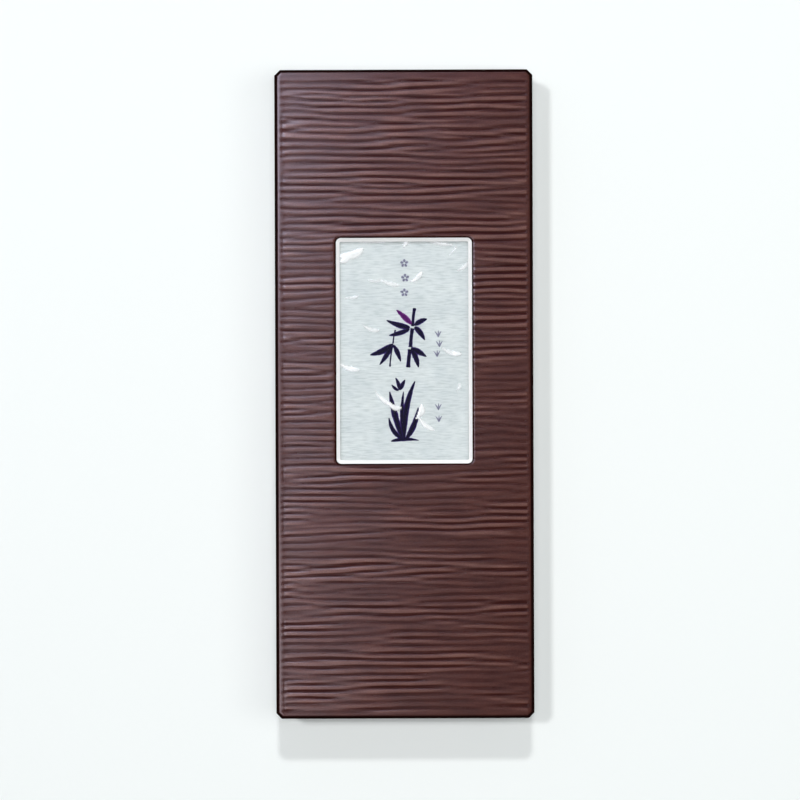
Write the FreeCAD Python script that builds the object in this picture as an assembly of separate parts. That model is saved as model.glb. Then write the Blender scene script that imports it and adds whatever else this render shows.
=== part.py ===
import FreeCAD, Part
import math
import os

# Boxed ink stick, in millimetres. A flat board box with a lift-off lid holds a padded bed, and in the bed lies an
# ink stick with a paper band and a clear film sleeve round it.
# The origin is the middle of the underside. +Z is up, +Y runs along the box towards the end nearer the window,
# and X runs across it.

Vector = FreeCAD.Vector

# Whole box
BOX_WIDTH = 65.2
BOX_LENGTH = 163.6
BOX_HEIGHT = 22.0

# Lid
LID_RIM_Z = 3.0
LID_LEAN = 0.006  # how far each lid wall leans in, per millimetre of height
LID_CORNER_LEG = 1.4
LID_EDGE_RADIUS = 1.1
LID_PAPER = 0.25
LID_BOARD = 1.1
LID_LINER = 0.12
LID_TURN_IN = 10.0

# Window in the lid
WINDOW_WIDTH = 34.2
WINDOW_LENGTH = 56.8
WINDOW_CENTRE_Y = 10.9
WINDOW_RADIUS = 1.2
WINDOW_BEVEL = 0.9

# Base tray
BASE_GAP_UNDER_LID = 0.13
BASE_GAP_IN_LID = 0.4
BASE_CORNER_LEG = 1.0
BASE_PAPER = 0.2
BASE_BOARD = 1.2
BASE_LINER = 0.12
BASE_TURN_IN = 8.0
BOTTOM_SHEET = 0.15
BOTTOM_SHEET_INSET = 1.2

# Corner stays of both trays
STAY_THICKNESS = 0.15
STAY_REACH = 7.0
STAY_END_GAP = 1.5

# Ink stick
STICK_WIDTH = 36.0
STICK_LENGTH = 130.0
STICK_THICKNESS = 13.0
STICK_CORNER_RADIUS = 2.5
STICK_EDGE_RADIUS = 1.0
PANEL_MARGIN = 2.6
PANEL_RADIUS = 1.2
PANEL_DEPTH = 0.5

# Gilding, which lies on the floor of the moulded panels
GILT_HEIGHT = 0.3
FRAME_MARGIN = 1.2
FRAME_LINE = 0.6
STALK_WIDTH = 1.7
STALK_JOINT_GAP = 0.5
LEAF_WIDTH = 2.2
LEAF_FAN = 26.0  # degrees between the leaves of a spray
LEAF_ROOT_STEP = 0.1  # millimetres between their roots, per degree
MOON_RADIUS = 5.0
WAVE_LINE = 0.6
WAVE_RADII = (4.0, 2.4)

# Band and sleeve round the stick
BAND_GAP = 0.2
BAND_PAPER = 0.15
BAND_LENGTH = 74.0
FILM = 0.15
FILM_SIDE_GAP = 0.1
FILM_TOP_ROOM = 0.35
FILM_GAP_UNDER_LID = 0.43
FILM_END_GAP = 0.5
FILM_CLOSED_END = 0.4

# Bed
BED_GAP = 0.3
BED_GAP_BELOW = 0.13
BED_CARD = 0.6
BED_CLOTH = 0.3
BED_TOP_Z = 17.0
BED_CORNER_LEG = 0.8
RECESS_SIDE_ROOM = 0.6
RECESS_FLOOR_ROOM = 0.3
RECESS_END_ROOM = 9.4
RECESS_RADIUS = 2.0
NOTCH_LENGTH = 18.0
NOTCH_DEPTH = 5.8
NOTCH_RADIUS = 3.0

# Heights and half sizes that follow from the dimensions above
LID_BOARD_TOP = BOX_HEIGHT - LID_PAPER
LID_BOARD_UNDERSIDE = LID_BOARD_TOP - LID_BOARD
LID_CEILING = LID_BOARD_UNDERSIDE - LID_LINER
BASE_RIM_Z = LID_CEILING - BASE_GAP_UNDER_LID
LID_INNER_INSET = LID_PAPER + LID_BOARD
BASE_INSET = LID_LEAN * (LID_CEILING - LID_RIM_Z) + LID_INNER_INSET + LID_LINER + BASE_GAP_IN_LID
BASE_HALF_X = BOX_WIDTH / 2 - BASE_INSET
BASE_HALF_Y = BOX_LENGTH / 2 - BASE_INSET
BASE_BOARD_Z = BOTTOM_SHEET + BASE_PAPER
BASE_FLOOR_Z = BASE_BOARD_Z + BASE_BOARD
BASE_INNER_INSET = BASE_PAPER + BASE_BOARD

FILM_TOP_Z = LID_CEILING - FILM_GAP_UNDER_LID
BAND_TOP_Z = FILM_TOP_Z - FILM - FILM_TOP_ROOM
STICK_TOP_Z = BAND_TOP_Z - BAND_PAPER - BAND_GAP
STICK_BOTTOM_Z = STICK_TOP_Z - STICK_THICKNESS
BAND_BOTTOM_Z = STICK_BOTTOM_Z - BAND_GAP - BAND_PAPER
FILM_BOTTOM_Z = BAND_BOTTOM_Z - FILM
BAND_HALF_X = STICK_WIDTH / 2 + BAND_GAP + BAND_PAPER
FILM_HALF_X = BAND_HALF_X + FILM_SIDE_GAP + FILM

BED_HALF_X = BASE_HALF_X - BASE_INNER_INSET - BASE_PAPER - BED_GAP
BED_HALF_Y = BASE_HALF_Y - BASE_INNER_INSET - BASE_PAPER - BED_GAP
BED_BOTTOM_Z = BASE_FLOOR_Z + BASE_LINER + BED_GAP_BELOW
RECESS_FLOOR_Z = FILM_BOTTOM_Z - RECESS_FLOOR_ROOM
RECESS_HALF_X = FILM_HALF_X + RECESS_SIDE_ROOM
RECESS_HALF_Y = STICK_LENGTH / 2 + RECESS_END_ROOM

# The outer walls of each tray: half width, half length, corner leg, lean, and the height that they are given at
LID_WALLS = (BOX_WIDTH / 2, BOX_LENGTH / 2, LID_CORNER_LEG, LID_LEAN, LID_RIM_Z)
BASE_WALLS = (BASE_HALF_X, BASE_HALF_Y, BASE_CORNER_LEG, 0.0, 0.0)
BED_WALLS = (BED_HALF_X, BED_HALF_Y, BED_CORNER_LEG, 0.0, 0.0)

# A 45 degree corner cut stays parallel to itself when its leg shrinks by this share of the inset
LEG_SHARE = 2 - math.sqrt(2)
# A cutting tool reaches this far past the faces that it cuts
CUT_ROOM = 1.0


def cut_corner_outline(half_x, half_y, leg, z):
    """Outline of a rectangle with its corners cut off at 45 degrees."""
    points = []
    for sign_x, sign_y in ((1, 1), (-1, 1), (-1, -1), (1, -1)):
        side = Vector(sign_x * half_x, sign_y * (half_y - leg), z)
        end = Vector(sign_x * (half_x - leg), sign_y * half_y, z)
        points += [side, end] if sign_x == sign_y else [end, side]
    return Part.makePolygon(points + points[:1])


def block(walls, inset, low, high):
    """Solid inside a tray's outer walls, moved inwards by inset, between two heights."""
    half_x, half_y, leg, lean, walls_z = walls
    outlines = []
    for z in (low, high):
        shrink = inset + lean * (z - walls_z)
        outlines.append(cut_corner_outline(half_x - shrink, half_y - shrink, leg - LEG_SHARE * inset, z))
    return Part.makeLoft(outlines, True, True)


def rounded_top(solid, radius):
    """The solid with the edges of its top face rounded."""
    top = solid.BoundBox.ZMax
    edges = [edge for edge in solid.Edges if edge.BoundBox.ZMin > top - 1e-6]
    return solid.makeFillet(radius, edges)


def rounded_outline(half_x, half_y, radius, centre, z):
    """Outline of a rectangle with round corners, about a centre given as x and y."""
    diagonal = radius * (1 - math.sqrt(0.5))
    edges = []
    turns = ((1, 1), (-1, 1), (-1, -1), (1, -1))
    ends = []
    for sign_x, sign_y in turns:
        side = Vector(centre[0] + sign_x * half_x, centre[1] + sign_y * (half_y - radius), z)
        end = Vector(centre[0] + sign_x * (half_x - radius), centre[1] + sign_y * half_y, z)
        middle = Vector(
            centre[0] + sign_x * (half_x - diagonal),
            centre[1] + sign_y * (half_y - diagonal),
            z,
        )
        first, last = (side, end) if sign_x == sign_y else (end, side)
        edges.append(Part.Arc(first, middle, last).toShape())
        ends.append((first, last))
    for i in range(len(ends)):
        edges.append(Part.LineSegment(ends[i][1], ends[(i + 1) % len(ends)][0]).toShape())
    return Part.Wire(Part.__sortEdges__(edges))


def rounded_slab(half_x, half_y, radius, centre, low, high):
    """Upright prism on a rounded rectangle."""
    face = Part.Face(rounded_outline(half_x, half_y, radius, centre, low))
    return face.extrude(Vector(0, 0, high - low))


def rounded_bar(half_x, low, high, radius, start_y, end_y):
    """Bar along Y whose long edges are rounded."""
    bar = Part.makeBox(2 * half_x, end_y - start_y, high - low, Vector(-half_x, start_y, low))
    long_edges = [edge for edge in bar.Edges if edge.BoundBox.YLength > (end_y - start_y) / 2]
    return bar.makeFillet(radius, long_edges)


def window_slab(grow, low, high):
    """Prism on the window's outline, larger by grow all round."""
    return rounded_slab(
        WINDOW_WIDTH / 2 + grow,
        WINDOW_LENGTH / 2 + grow,
        WINDOW_RADIUS + grow,
        (0, WINDOW_CENTRE_Y),
        low,
        high,
    )


def lid_board_solid():
    """Board tray of the lid before the window and the stays' rebates are cut."""
    outside = rounded_top(
        block(LID_WALLS, LID_PAPER, LID_RIM_Z + LID_PAPER, LID_BOARD_TOP), LID_EDGE_RADIUS - LID_PAPER
    )
    return outside.cut(block(LID_WALLS, LID_INNER_INSET, LID_RIM_Z, LID_BOARD_UNDERSIDE))


def corner_stays(walls, inset, low, high):
    """Four thin strips bent round a tray's upright corners."""
    ring = block(walls, inset, low, high).cut(block(walls, inset + STAY_THICKNESS, low, high))
    stays = []
    for sign_x in (-1, 1):
        for sign_y in (-1, 1):
            reach = STAY_REACH + CUT_ROOM
            corner = Vector(
                sign_x * (walls[0] + CUT_ROOM - reach / 2) - reach / 2,
                sign_y * (walls[1] + CUT_ROOM - reach / 2) - reach / 2,
                low,
            )
            stays.append(ring.common(Part.makeBox(reach, reach, high - low, corner)))
    return Part.makeCompound(stays)


def lid_stays():
    """Stays of the lid, in rebates of the board under the cover paper."""
    low = LID_RIM_Z + LID_PAPER + STAY_END_GAP
    high = LID_BOARD_TOP - LID_EDGE_RADIUS - STAY_END_GAP
    return corner_stays(LID_WALLS, LID_PAPER, low, high)


def lid_board():
    """Board tray of the lid, with a bevelled window."""
    bevel = Part.makeLoft(
        [
            rounded_outline(
                WINDOW_WIDTH / 2 - WINDOW_BEVEL,
                WINDOW_LENGTH / 2 - WINDOW_BEVEL,
                WINDOW_RADIUS - WINDOW_BEVEL,
                (0, WINDOW_CENTRE_Y),
                LID_BOARD_UNDERSIDE,
            ),
            rounded_outline(
                WINDOW_WIDTH / 2, WINDOW_LENGTH / 2, WINDOW_RADIUS, (0, WINDOW_CENTRE_Y), LID_BOARD_TOP
            ),
        ],
        True,
        True,
    )
    return lid_board_solid().cut(bevel).cut(lid_stays())


def lid_cover_paper():
    """Paper over the lid's top and walls, round its rim and a strip up the inside."""
    turn_in_top = LID_RIM_Z + LID_TURN_IN
    paper = rounded_top(block(LID_WALLS, 0, LID_RIM_Z, BOX_HEIGHT), LID_EDGE_RADIUS)
    paper = paper.cut(lid_board_solid())
    paper = paper.cut(block(LID_WALLS, LID_INNER_INSET, turn_in_top, LID_BOARD_UNDERSIDE))
    paper = paper.cut(block(LID_WALLS, LID_INNER_INSET + LID_PAPER, LID_RIM_Z, turn_in_top))
    return paper.cut(window_slab(0, LID_BOARD_UNDERSIDE, BOX_HEIGHT + CUT_ROOM))


def lid_liner_paper():
    """Lining of the lid's ceiling and of its walls above the cover paper's turn-in."""
    low = LID_RIM_Z + LID_TURN_IN
    liner = block(LID_WALLS, LID_INNER_INSET, low, LID_BOARD_UNDERSIDE)
    liner = liner.cut(block(LID_WALLS, LID_INNER_INSET + LID_LINER, low, LID_CEILING))
    return liner.cut(window_slab(-WINDOW_BEVEL, low, BOX_HEIGHT))


def base_board_solid():
    """Board tray of the base before the stays' rebates are cut."""
    outside = block(BASE_WALLS, BASE_PAPER, BASE_BOARD_Z, BASE_RIM_Z - BASE_PAPER)
    return outside.cut(block(BASE_WALLS, BASE_INNER_INSET, BASE_FLOOR_Z, BASE_RIM_Z))


def base_stays():
    """Stays of the base, in rebates of the board under the cover paper."""
    low = BASE_BOARD_Z + STAY_END_GAP
    high = BASE_RIM_Z - BASE_PAPER - STAY_END_GAP
    return corner_stays(BASE_WALLS, BASE_PAPER, low, high)


def base_board():
    """Board tray of the base."""
    return base_board_solid().cut(base_stays())


def base_cover_paper():
    """Paper under the base and up its walls, over its rim and a strip down the inside."""
    turn_in_z = BASE_RIM_Z - BASE_TURN_IN
    paper = block(BASE_WALLS, 0, BOTTOM_SHEET, BASE_RIM_Z)
    paper = paper.cut(base_board_solid())
    paper = paper.cut(block(BASE_WALLS, BASE_INNER_INSET, BASE_FLOOR_Z, turn_in_z))
    return paper.cut(block(BASE_WALLS, BASE_INNER_INSET + BASE_PAPER, turn_in_z, BASE_RIM_Z))


def base_liner_paper():
    """Lining of the base's floor and of its walls below the cover paper's turn-in."""
    high = BASE_RIM_Z - BASE_TURN_IN
    liner = block(BASE_WALLS, BASE_INNER_INSET, BASE_FLOOR_Z, high)
    return liner.cut(block(BASE_WALLS, BASE_INNER_INSET + BASE_LINER, BASE_FLOOR_Z + BASE_LINER, high))


def base_bottom_sheet():
    """Sheet under the base, which the box stands on."""
    return block(BASE_WALLS, BOTTOM_SHEET_INSET, 0, BOTTOM_SHEET)


def bed_recess(grow, floor_z):
    """Space that the wrapped stick lies in, with a thumb notch in each long side, larger by grow."""
    top = BED_TOP_Z + CUT_ROOM
    radius = RECESS_RADIUS + grow
    space = rounded_slab(RECESS_HALF_X + grow, RECESS_HALF_Y + grow, radius, (0, 0), floor_z, top)
    notches = rounded_slab(
        RECESS_HALF_X + NOTCH_DEPTH + grow, NOTCH_LENGTH / 2 + grow, NOTCH_RADIUS + grow, (0, 0), floor_z, top
    )
    return space.fuse(notches).removeSplitter()


def bed_card():
    """Card that the foam is glued to."""
    return block(BED_WALLS, BED_CLOTH, BED_BOTTOM_Z, BED_BOTTOM_Z + BED_CARD)


def bed_foam():
    """Foam block with the recess and the notches."""
    foam = block(BED_WALLS, BED_CLOTH, BED_BOTTOM_Z + BED_CARD, BED_TOP_Z - BED_CLOTH)
    return foam.cut(bed_recess(BED_CLOTH, RECESS_FLOOR_Z - BED_CLOTH))


def bed_cloth():
    """Cloth over the foam, down into the recess and down the outside to the card's underside."""
    cloth = block(BED_WALLS, 0, BED_BOTTOM_Z, BED_TOP_Z)
    cloth = cloth.cut(bed_recess(0, RECESS_FLOOR_Z))
    return cloth.cut(bed_foam()).cut(bed_card())


def paper_band():
    """Paper band round the middle of the stick, centred under the window."""
    start_y = WINDOW_CENTRE_Y - BAND_LENGTH / 2
    end_y = start_y + BAND_LENGTH
    radius = STICK_EDGE_RADIUS + BAND_GAP
    outside = rounded_bar(BAND_HALF_X, BAND_BOTTOM_Z, BAND_TOP_Z, radius + BAND_PAPER, start_y, end_y)
    inside = rounded_bar(
        BAND_HALF_X - BAND_PAPER,
        BAND_BOTTOM_Z + BAND_PAPER,
        BAND_TOP_Z - BAND_PAPER,
        radius,
        start_y - CUT_ROOM,
        end_y + CUT_ROOM,
    )
    return outside.cut(inside)


def film_sleeve():
    """Clear film sleeve round the band and the stick, closed at the -Y end and open at the +Y end."""
    end_y = STICK_LENGTH / 2 + FILM_END_GAP
    radius = STICK_EDGE_RADIUS + BAND_GAP + BAND_PAPER
    outside = rounded_bar(
        FILM_HALF_X, FILM_BOTTOM_Z, FILM_TOP_Z, radius + FILM, -end_y - FILM_CLOSED_END, end_y
    )
    inside = rounded_bar(
        FILM_HALF_X - FILM, FILM_BOTTOM_Z + FILM, FILM_TOP_Z - FILM, radius, -end_y, end_y + CUT_ROOM
    )
    return outside.cut(inside)


def ink_stick():
    """Moulded stick with a sunk panel on its front and on its back."""
    stick = rounded_slab(
        STICK_WIDTH / 2, STICK_LENGTH / 2, STICK_CORNER_RADIUS, (0, 0), STICK_BOTTOM_Z, STICK_TOP_Z
    )
    face_edges = [edge for edge in stick.Edges if edge.BoundBox.ZLength < 1e-6]
    stick = stick.makeFillet(STICK_EDGE_RADIUS, face_edges)
    for low in (STICK_BOTTOM_Z - CUT_ROOM, STICK_TOP_Z - PANEL_DEPTH):
        panel = rounded_slab(
            STICK_WIDTH / 2 - PANEL_MARGIN,
            STICK_LENGTH / 2 - PANEL_MARGIN,
            PANEL_RADIUS,
            (0, 0),
            low,
            low + PANEL_DEPTH + CUT_ROOM,
        )
        stick = stick.cut(panel)
    return stick


def front_gilt_z():
    """Height of the front panel's floor."""
    return STICK_TOP_Z - PANEL_DEPTH


def back_gilt_z():
    """Height of the underside of the gilding on the back."""
    return STICK_BOTTOM_Z + PANEL_DEPTH - GILT_HEIGHT


def gilt_frame(low):
    """Thin frame line inside a panel."""
    margin = PANEL_MARGIN + FRAME_MARGIN
    half_x = STICK_WIDTH / 2 - margin
    half_y = STICK_LENGTH / 2 - margin
    high = low + GILT_HEIGHT
    outside = rounded_slab(half_x, half_y, PANEL_RADIUS, (0, 0), low, high)
    inside = rounded_slab(
        half_x - FRAME_LINE, half_y - FRAME_LINE, PANEL_RADIUS - FRAME_LINE, (0, 0), low, high
    )
    return outside.cut(inside)


def stalk(base_x, base_y, lean, lengths, low):
    """Bamboo stalk: a row of short segments with a gap at each joint."""
    pieces = []
    y = base_y
    for length in lengths:
        piece = Part.makeBox(STALK_WIDTH, length, GILT_HEIGHT, Vector(-STALK_WIDTH / 2, y - base_y, low))
        upright = [edge for edge in piece.Edges if edge.BoundBox.ZLength > GILT_HEIGHT / 2]
        pieces.append(piece.makeFillet(STALK_WIDTH / 4, upright))
        y += length + STALK_JOINT_GAP
    whole = Part.makeCompound(pieces)
    whole.rotate(Vector(0, 0, 0), Vector(0, 0, 1), -lean)
    whole.translate(Vector(base_x, base_y, 0))
    return whole


def leaf(x, y, length, angle, low):
    """Leaf shape between two arcs, growing from a point at an angle from +Y."""
    root = Vector(0, 0, low)
    tip = Vector(0, length, low)
    belly = length * 0.4
    outline = Part.Wire(
        [
            Part.Arc(root, Vector(LEAF_WIDTH / 2, belly, low), tip).toShape(),
            Part.Arc(tip, Vector(-LEAF_WIDTH / 2, belly, low), root).toShape(),
        ]
    )
    shape = Part.Face(outline).extrude(Vector(0, 0, GILT_HEIGHT))
    shape.rotate(Vector(0, 0, 0), Vector(0, 0, 1), -angle)
    shape.translate(Vector(x, y, 0))
    return shape


def spray(x, y, side, steepness, low):
    """Three leaves that fan out from a stalk to one side, the steeper ones rooted lower."""
    leaves = []
    for turn, length in ((-LEAF_FAN, 6.6), (0, 7.4), (LEAF_FAN, 6.0)):
        root_y = y - turn * LEAF_ROOT_STEP
        leaves.append(leaf(x, root_y, length, side * (steepness + turn), low))
    return leaves


def gilt_bamboo_front():
    """Two bamboo stalks with sprays of leaves on the front panel."""
    low = front_gilt_z()
    pieces = [
        stalk(-5.5, -57.0, 2.0, (12, 15, 17, 18, 17, 14), low),
        stalk(5.0, -57.0, -1.5, (9, 12, 14, 14, 12), low),
    ]
    sprays = (
        (-6.6, -36.0, -1, 125),
        (6.2, -29.0, 1, 120),
        (-5.2, -3.0, -1, 125),
        (5.4, 9.0, 1, 125),
        (-4.4, 33.0, -1, 120),
        (-0.4, 37.0, 1, 70),
    )
    for x, y, side, steepness in sprays:
        pieces += spray(x, y, side, steepness, low)
    return Part.makeCompound(pieces)


def gilt_moon_back():
    """Moon over three rows of waves on the back panel."""
    low = back_gilt_z()
    pieces = [Part.makeCylinder(MOON_RADIUS, GILT_HEIGHT, Vector(4.0, 38.0, low))]
    for y, places in ((-50.0, (-9.0, 0.0, 9.0)), (-43.0, (-4.5, 4.5)), (-36.0, (-9.0, 0.0, 9.0))):
        for x in places:
            for radius in WAVE_RADII:
                pieces.append(wave(x, y, radius, low))
    return Part.makeCompound(pieces)


def wave(x, y, radius, low):
    """Half ring, open downwards."""
    ring = Part.makeCylinder(radius, GILT_HEIGHT, Vector(x, y, low))
    ring = ring.cut(Part.makeCylinder(radius - WAVE_LINE, GILT_HEIGHT, Vector(x, y, low)))
    keep = Part.makeBox(2 * radius, radius, GILT_HEIGHT, Vector(x - radius, y, low))
    return ring.common(keep)


def main():
    os.makedirs("parts", exist_ok=True)
    nodes = {
        "base_board": base_board(),
        "base_cover_paper": base_cover_paper(),
        "base_corner_stays": base_stays(),
        "base_liner_paper": base_liner_paper(),
        "base_bottom_sheet": base_bottom_sheet(),
        "bed_card": bed_card(),
        "bed_foam": bed_foam(),
        "bed_cloth": bed_cloth(),
        "lid_board": lid_board(),
        "lid_cover_paper": lid_cover_paper(),
        "lid_corner_stays": lid_stays(),
        "lid_liner_paper": lid_liner_paper(),
        "paper_band": paper_band(),
        "film_sleeve": film_sleeve(),
        "ink_stick": ink_stick(),
        "gilt_frame_front": gilt_frame(front_gilt_z()),
        "gilt_bamboo_front": gilt_bamboo_front(),
        "gilt_frame_back": gilt_frame(back_gilt_z()),
        "gilt_moon_back": gilt_moon_back(),
    }
    for name, shape in nodes.items():
        shape.exportStep(os.path.join("parts", name + ".step"))
        box = shape.BoundBox
        print(
            f"{name}: {len(shape.Solids)} solids, valid {shape.isValid()}, {shape.Volume:.1f} mm3, "
            f"x {box.XMin:.2f} to {box.XMax:.2f}, y {box.YMin:.2f} to {box.YMax:.2f}, "
            f"z {box.ZMin:.2f} to {box.ZMax:.2f}"
        )


main()
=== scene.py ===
import math

import bpy
import numpy as np
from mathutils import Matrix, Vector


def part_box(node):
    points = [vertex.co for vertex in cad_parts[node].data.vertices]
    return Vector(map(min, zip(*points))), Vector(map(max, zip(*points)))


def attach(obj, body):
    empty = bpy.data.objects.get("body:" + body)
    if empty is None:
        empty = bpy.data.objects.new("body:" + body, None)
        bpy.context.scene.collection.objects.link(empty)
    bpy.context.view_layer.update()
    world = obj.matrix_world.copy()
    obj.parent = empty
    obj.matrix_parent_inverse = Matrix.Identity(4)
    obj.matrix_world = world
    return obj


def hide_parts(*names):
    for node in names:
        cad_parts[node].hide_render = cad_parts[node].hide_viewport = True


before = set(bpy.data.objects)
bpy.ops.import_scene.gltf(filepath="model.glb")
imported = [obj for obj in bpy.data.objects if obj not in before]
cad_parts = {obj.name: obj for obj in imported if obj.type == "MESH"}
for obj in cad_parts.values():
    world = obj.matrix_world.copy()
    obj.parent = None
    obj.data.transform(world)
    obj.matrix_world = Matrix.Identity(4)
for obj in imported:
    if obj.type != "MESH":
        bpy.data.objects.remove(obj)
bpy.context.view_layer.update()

# Lengths in this script are in millimetres, and become metres when a mesh is made.
MM = 0.001
TINY = 1e-6
SEED = 20

# Lid paper, as in the CAD model. A corner's cut shortens by LEG_SHARE of an inset.
CORNER_LEG = 1.4
EDGE_RADIUS = 1.1
LID_PAPER = 0.25
LID_BOARD = 1.1
TURN_IN = 10.0
WINDOW_RADIUS = 1.2
LEG_SHARE = 2 - math.sqrt(2)
LID_LEAN = 0.006
ARC_STEPS = 8

# Sizes of the lid paper's faces: along the ripples, across them, down the long walls and down the end walls
OUTER_STEPS = (0.9, 0.2, 2.0, 0.32)
INNER_STEPS = (6.0, 6.0)

# Fields of waves: pitch, spread of the pitch, length of the crests, number of waves and seed
RIPPLES = (1.74, 0.13, 42.0, 90, SEED)
SWELL = (14.0, 0.5, 40.0, 24, SEED + 1)
SMALL_RIPPLES = (0.9048, 0.2, 16.0, 60, SEED + 2)
FILM_SLACK = (9.0, 0.5, 14.0, 24, SEED + 3)
SATIN_SAG = (11.0, 0.4, 16.0, 20, SEED + 5)

# Ripples embossed in the lid paper. Their ridges stand above the CAD model's face by the rise.
RIPPLE_RISE = 0.04
RIPPLE_DEPTH = 0.16
# Shares of their height that the small ripples add and that the walls have, and the power that narrows
# their valleys
SMALL_SHARE = 0.16
WALL_SHARE = 0.75
VALLEY_POWER = 1.7
# Shares of their depth that are even, that swell, and that grow to the back right
DEPTH_SHARES = (0.72, 0.28, 0.18)
# Runs down a wall where its ripples come in and fade out, and where the paper counts as turned over and
# gets painted shade
WALL_RIPPLES = ((3.0, 4.2), (17.0, 18.5))
WALL_TURNED = ((0.2, 0.45), (2.2, 3.4))

# A pressed line runs this far inside the panel's edge on the left and at the back, and along the edge on
# the right and at the front. Beyond it the ripples are fainter.
# The pressed line is painted darker, a painted shade in its groove
PRESSED_LINE = 0.94
PRESSED_HALF = 0.27
PRESSED_DEPTH = 0.03
BORDER_SHARE = 0.4
BORDER_LINES = (0.8, 0.94, 1.08, 1.22, 1.36, 1.5, 1.8)

# The paper rolls down into the window over this width, by this much, and is painted in shade there
WINDOW_ROLL = 0.55
WINDOW_DROP = 0.2
ROLL_LINES = (0.25, 0.45, 0.7)

# Bed: the recess for the stick and its thumb notches, and the rounding of the padded rims
RECESS_HALF = (19.2, 74.4)
RECESS_RADIUS = 2.0
RECESS_FLOOR = 5.45
NOTCH_REACH = 25.0
NOTCH_HALF = 9.0
NOTCH_FOOT = 1.4
NOTCH_RADIUS = 2.6
BED_LEG = 0.8
BED_ROUND = 1.3
BED_CROWN = 0.16
BED_STEP = 2.0
# Points on the straight runs of half its outline, from the side next to a corner to the end
BED_RUNS = (44, 3, 6, 3, 44, 24)
SATIN_THICKNESS = 0.25
FOAM_GAP = 0.2
# Gathers at the satin's inner corners, its sag, and the heights across which its top begins
GATHER_HEIGHT = 0.10
GATHER_FOLDS = 8
GATHER_REACH = 3.4
SAG_HEIGHT = 0.035
SATIN_TOP = (15.5, 16.8)

# Clear film: its gap to the CAD node's faces, its wall, and the y between which it has fine faces
FILM_GAP = 0.05
FILM_WALL = 0.04
FILM_RADIUS = 1.5
FILM_STEP = 0.3
FILM_FINE = (-19.0, 41.0)
CREASE_HEIGHT = 0.2
SLACK_HEIGHT = 0.09
# Loose creases as x, y, length, width, angle in degrees and strength
CREASES = (
    (-13.6, 35.3, 6.5, 2.0, 14, 1.0),
    (-15.2, 33.9, 3.6, 1.3, 24, 0.9),
    (0.4, 38.2, 2.4, 1.2, 80, 0.9),
    (-8.0, 38.6, 9.0, 0.9, 2, 0.5),
    (8.0, 38.3, 8.0, 0.9, -12, 0.6),
    (-3.9, 28.1, 5.0, 0.9, -17, 0.8),
    (-7.5, 28.6, 3.4, 0.8, -4, 0.5),
    (3.3, 29.4, 3.6, 1.1, 42, 0.9),
    (-13.2, 24.4, 3.4, 0.8, 8, 0.5),
    (-8.4, 16.5, 4.0, 1.0, -18, 0.8),
    (15.0, 32.0, 3.2, 0.9, 38, 0.7),
    (12.4, 36.0, 3.0, 0.7, 50, 0.4),
    (11.9, 10.6, 4.8, 1.2, -16, 0.8),
    (-14.1, 6.8, 5.4, 1.1, -18, 0.9),
    (-5.2, -1.3, 5.2, 1.0, -38, 1.0),
    (-2.6, -3.1, 3.4, 1.3, -20, 0.9),
    (4.0, -4.6, 3.4, 1.6, 68, 1.0),
    (5.3, -7.6, 5.0, 1.1, -40, 1.0),
    (13.7, 1.6, 1.8, 0.8, 70, 0.6),
    (-8.0, 44.5, 6.0, 1.2, 30, 0.8),
    (6.0, 52.0, 8.0, 1.4, -25, 0.9),
    (-4.0, 60.0, 7.0, 1.6, 15, 0.9),
    (9.0, -24.0, 7.0, 1.2, 32, 0.8),
    (-9.0, -34.0, 8.0, 1.4, -22, 0.9),
    (3.0, -47.0, 9.0, 1.6, 12, 0.9),
    (-6.0, -58.0, 7.0, 1.4, 40, 0.9),
)

# Brush strokes: greatest width, and the three points of a curve on the band
STALKS = (
    (1.25, (1.0, 6.7), (1.1, 9.0), (1.5, 11.3)),
    (1.15, (1.6, 11.8), (1.7, 14.2), (2.1, 16.6)),
    (1.0, (2.2, 17.1), (2.2, 19.5), (2.7, 21.7)),
    (0.5, (-3.6, 6.9), (-3.5, 9.5), (-2.9, 12.3)),
    (0.45, (-2.8, 12.7), (-2.7, 14.5), (-2.2, 16.2)),
)
PLUM_LEAF = (1.5, (1.9, 17.6), (0.2, 19.4), (-1.9, 21.2))
LEAVES = (
    (1.5, (1.5, 16.8), (-1.0, 17.0), (-4.4, 18.6)),
    (1.3, (1.4, 16.4), (-1.0, 15.2), (-3.8, 14.8)),
    (1.4, (2.6, 17.3), (4.2, 18.6), (5.8, 18.9)),
    (1.5, (2.6, 16.9), (4.0, 16.0), (5.2, 13.6)),
    (1.7, (-2.8, 12.6), (-5.0, 10.6), (-8.6, 9.9)),
    (1.3, (-3.0, 12.4), (-4.4, 9.6), (-6.2, 7.4)),
    (1.2, (-2.7, 12.4), (-1.4, 10.2), (-0.9, 8.2)),
    (1.5, (1.7, 11.6), (3.6, 10.8), (5.6, 9.4)),
    (1.4, (1.8, 11.3), (3.2, 9.2), (3.6, 6.7)),
    (1.6, (-0.5, -11.3), (-2.7, -5.0), (-3.7, 0.6)),
    (1.7, (-0.1, -11.5), (-0.4, -3.5), (2.7, 3.2)),
    (1.5, (0.3, -11.4), (2.9, -8.2), (3.5, -3.4)),
    (1.2, (-0.7, -11.2), (-3.4, -9.6), (-3.9, -6.0)),
    (1.2, (0.1, -11.4), (-1.1, -5.5), (-0.2, 0.6)),
    (1.0, (-1.2, 1.0), (-1.3, 2.6), (-2.2, 4.1)),
    (1.1, (-1.1, 1.0), (-0.5, 2.4), (0.2, 3.6)),
    (0.8, (-1.4, 0.9), (-2.5, 1.3), (-3.2, 2.4)),
    (1.0, (-3.4, -11.9), (0.0, -11.0), (3.6, -11.7)),
)
TONES = {"ink": 0.0, "plum": 1.0, "grey": 2.0}
BLOSSOMS = ((0.1, 33.0), (0.3, 29.3), (0.1, 25.6))
PETAL_WIDTH = 0.84
PETAL_REACH = (0.22, 0.62, 1.06)
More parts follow.
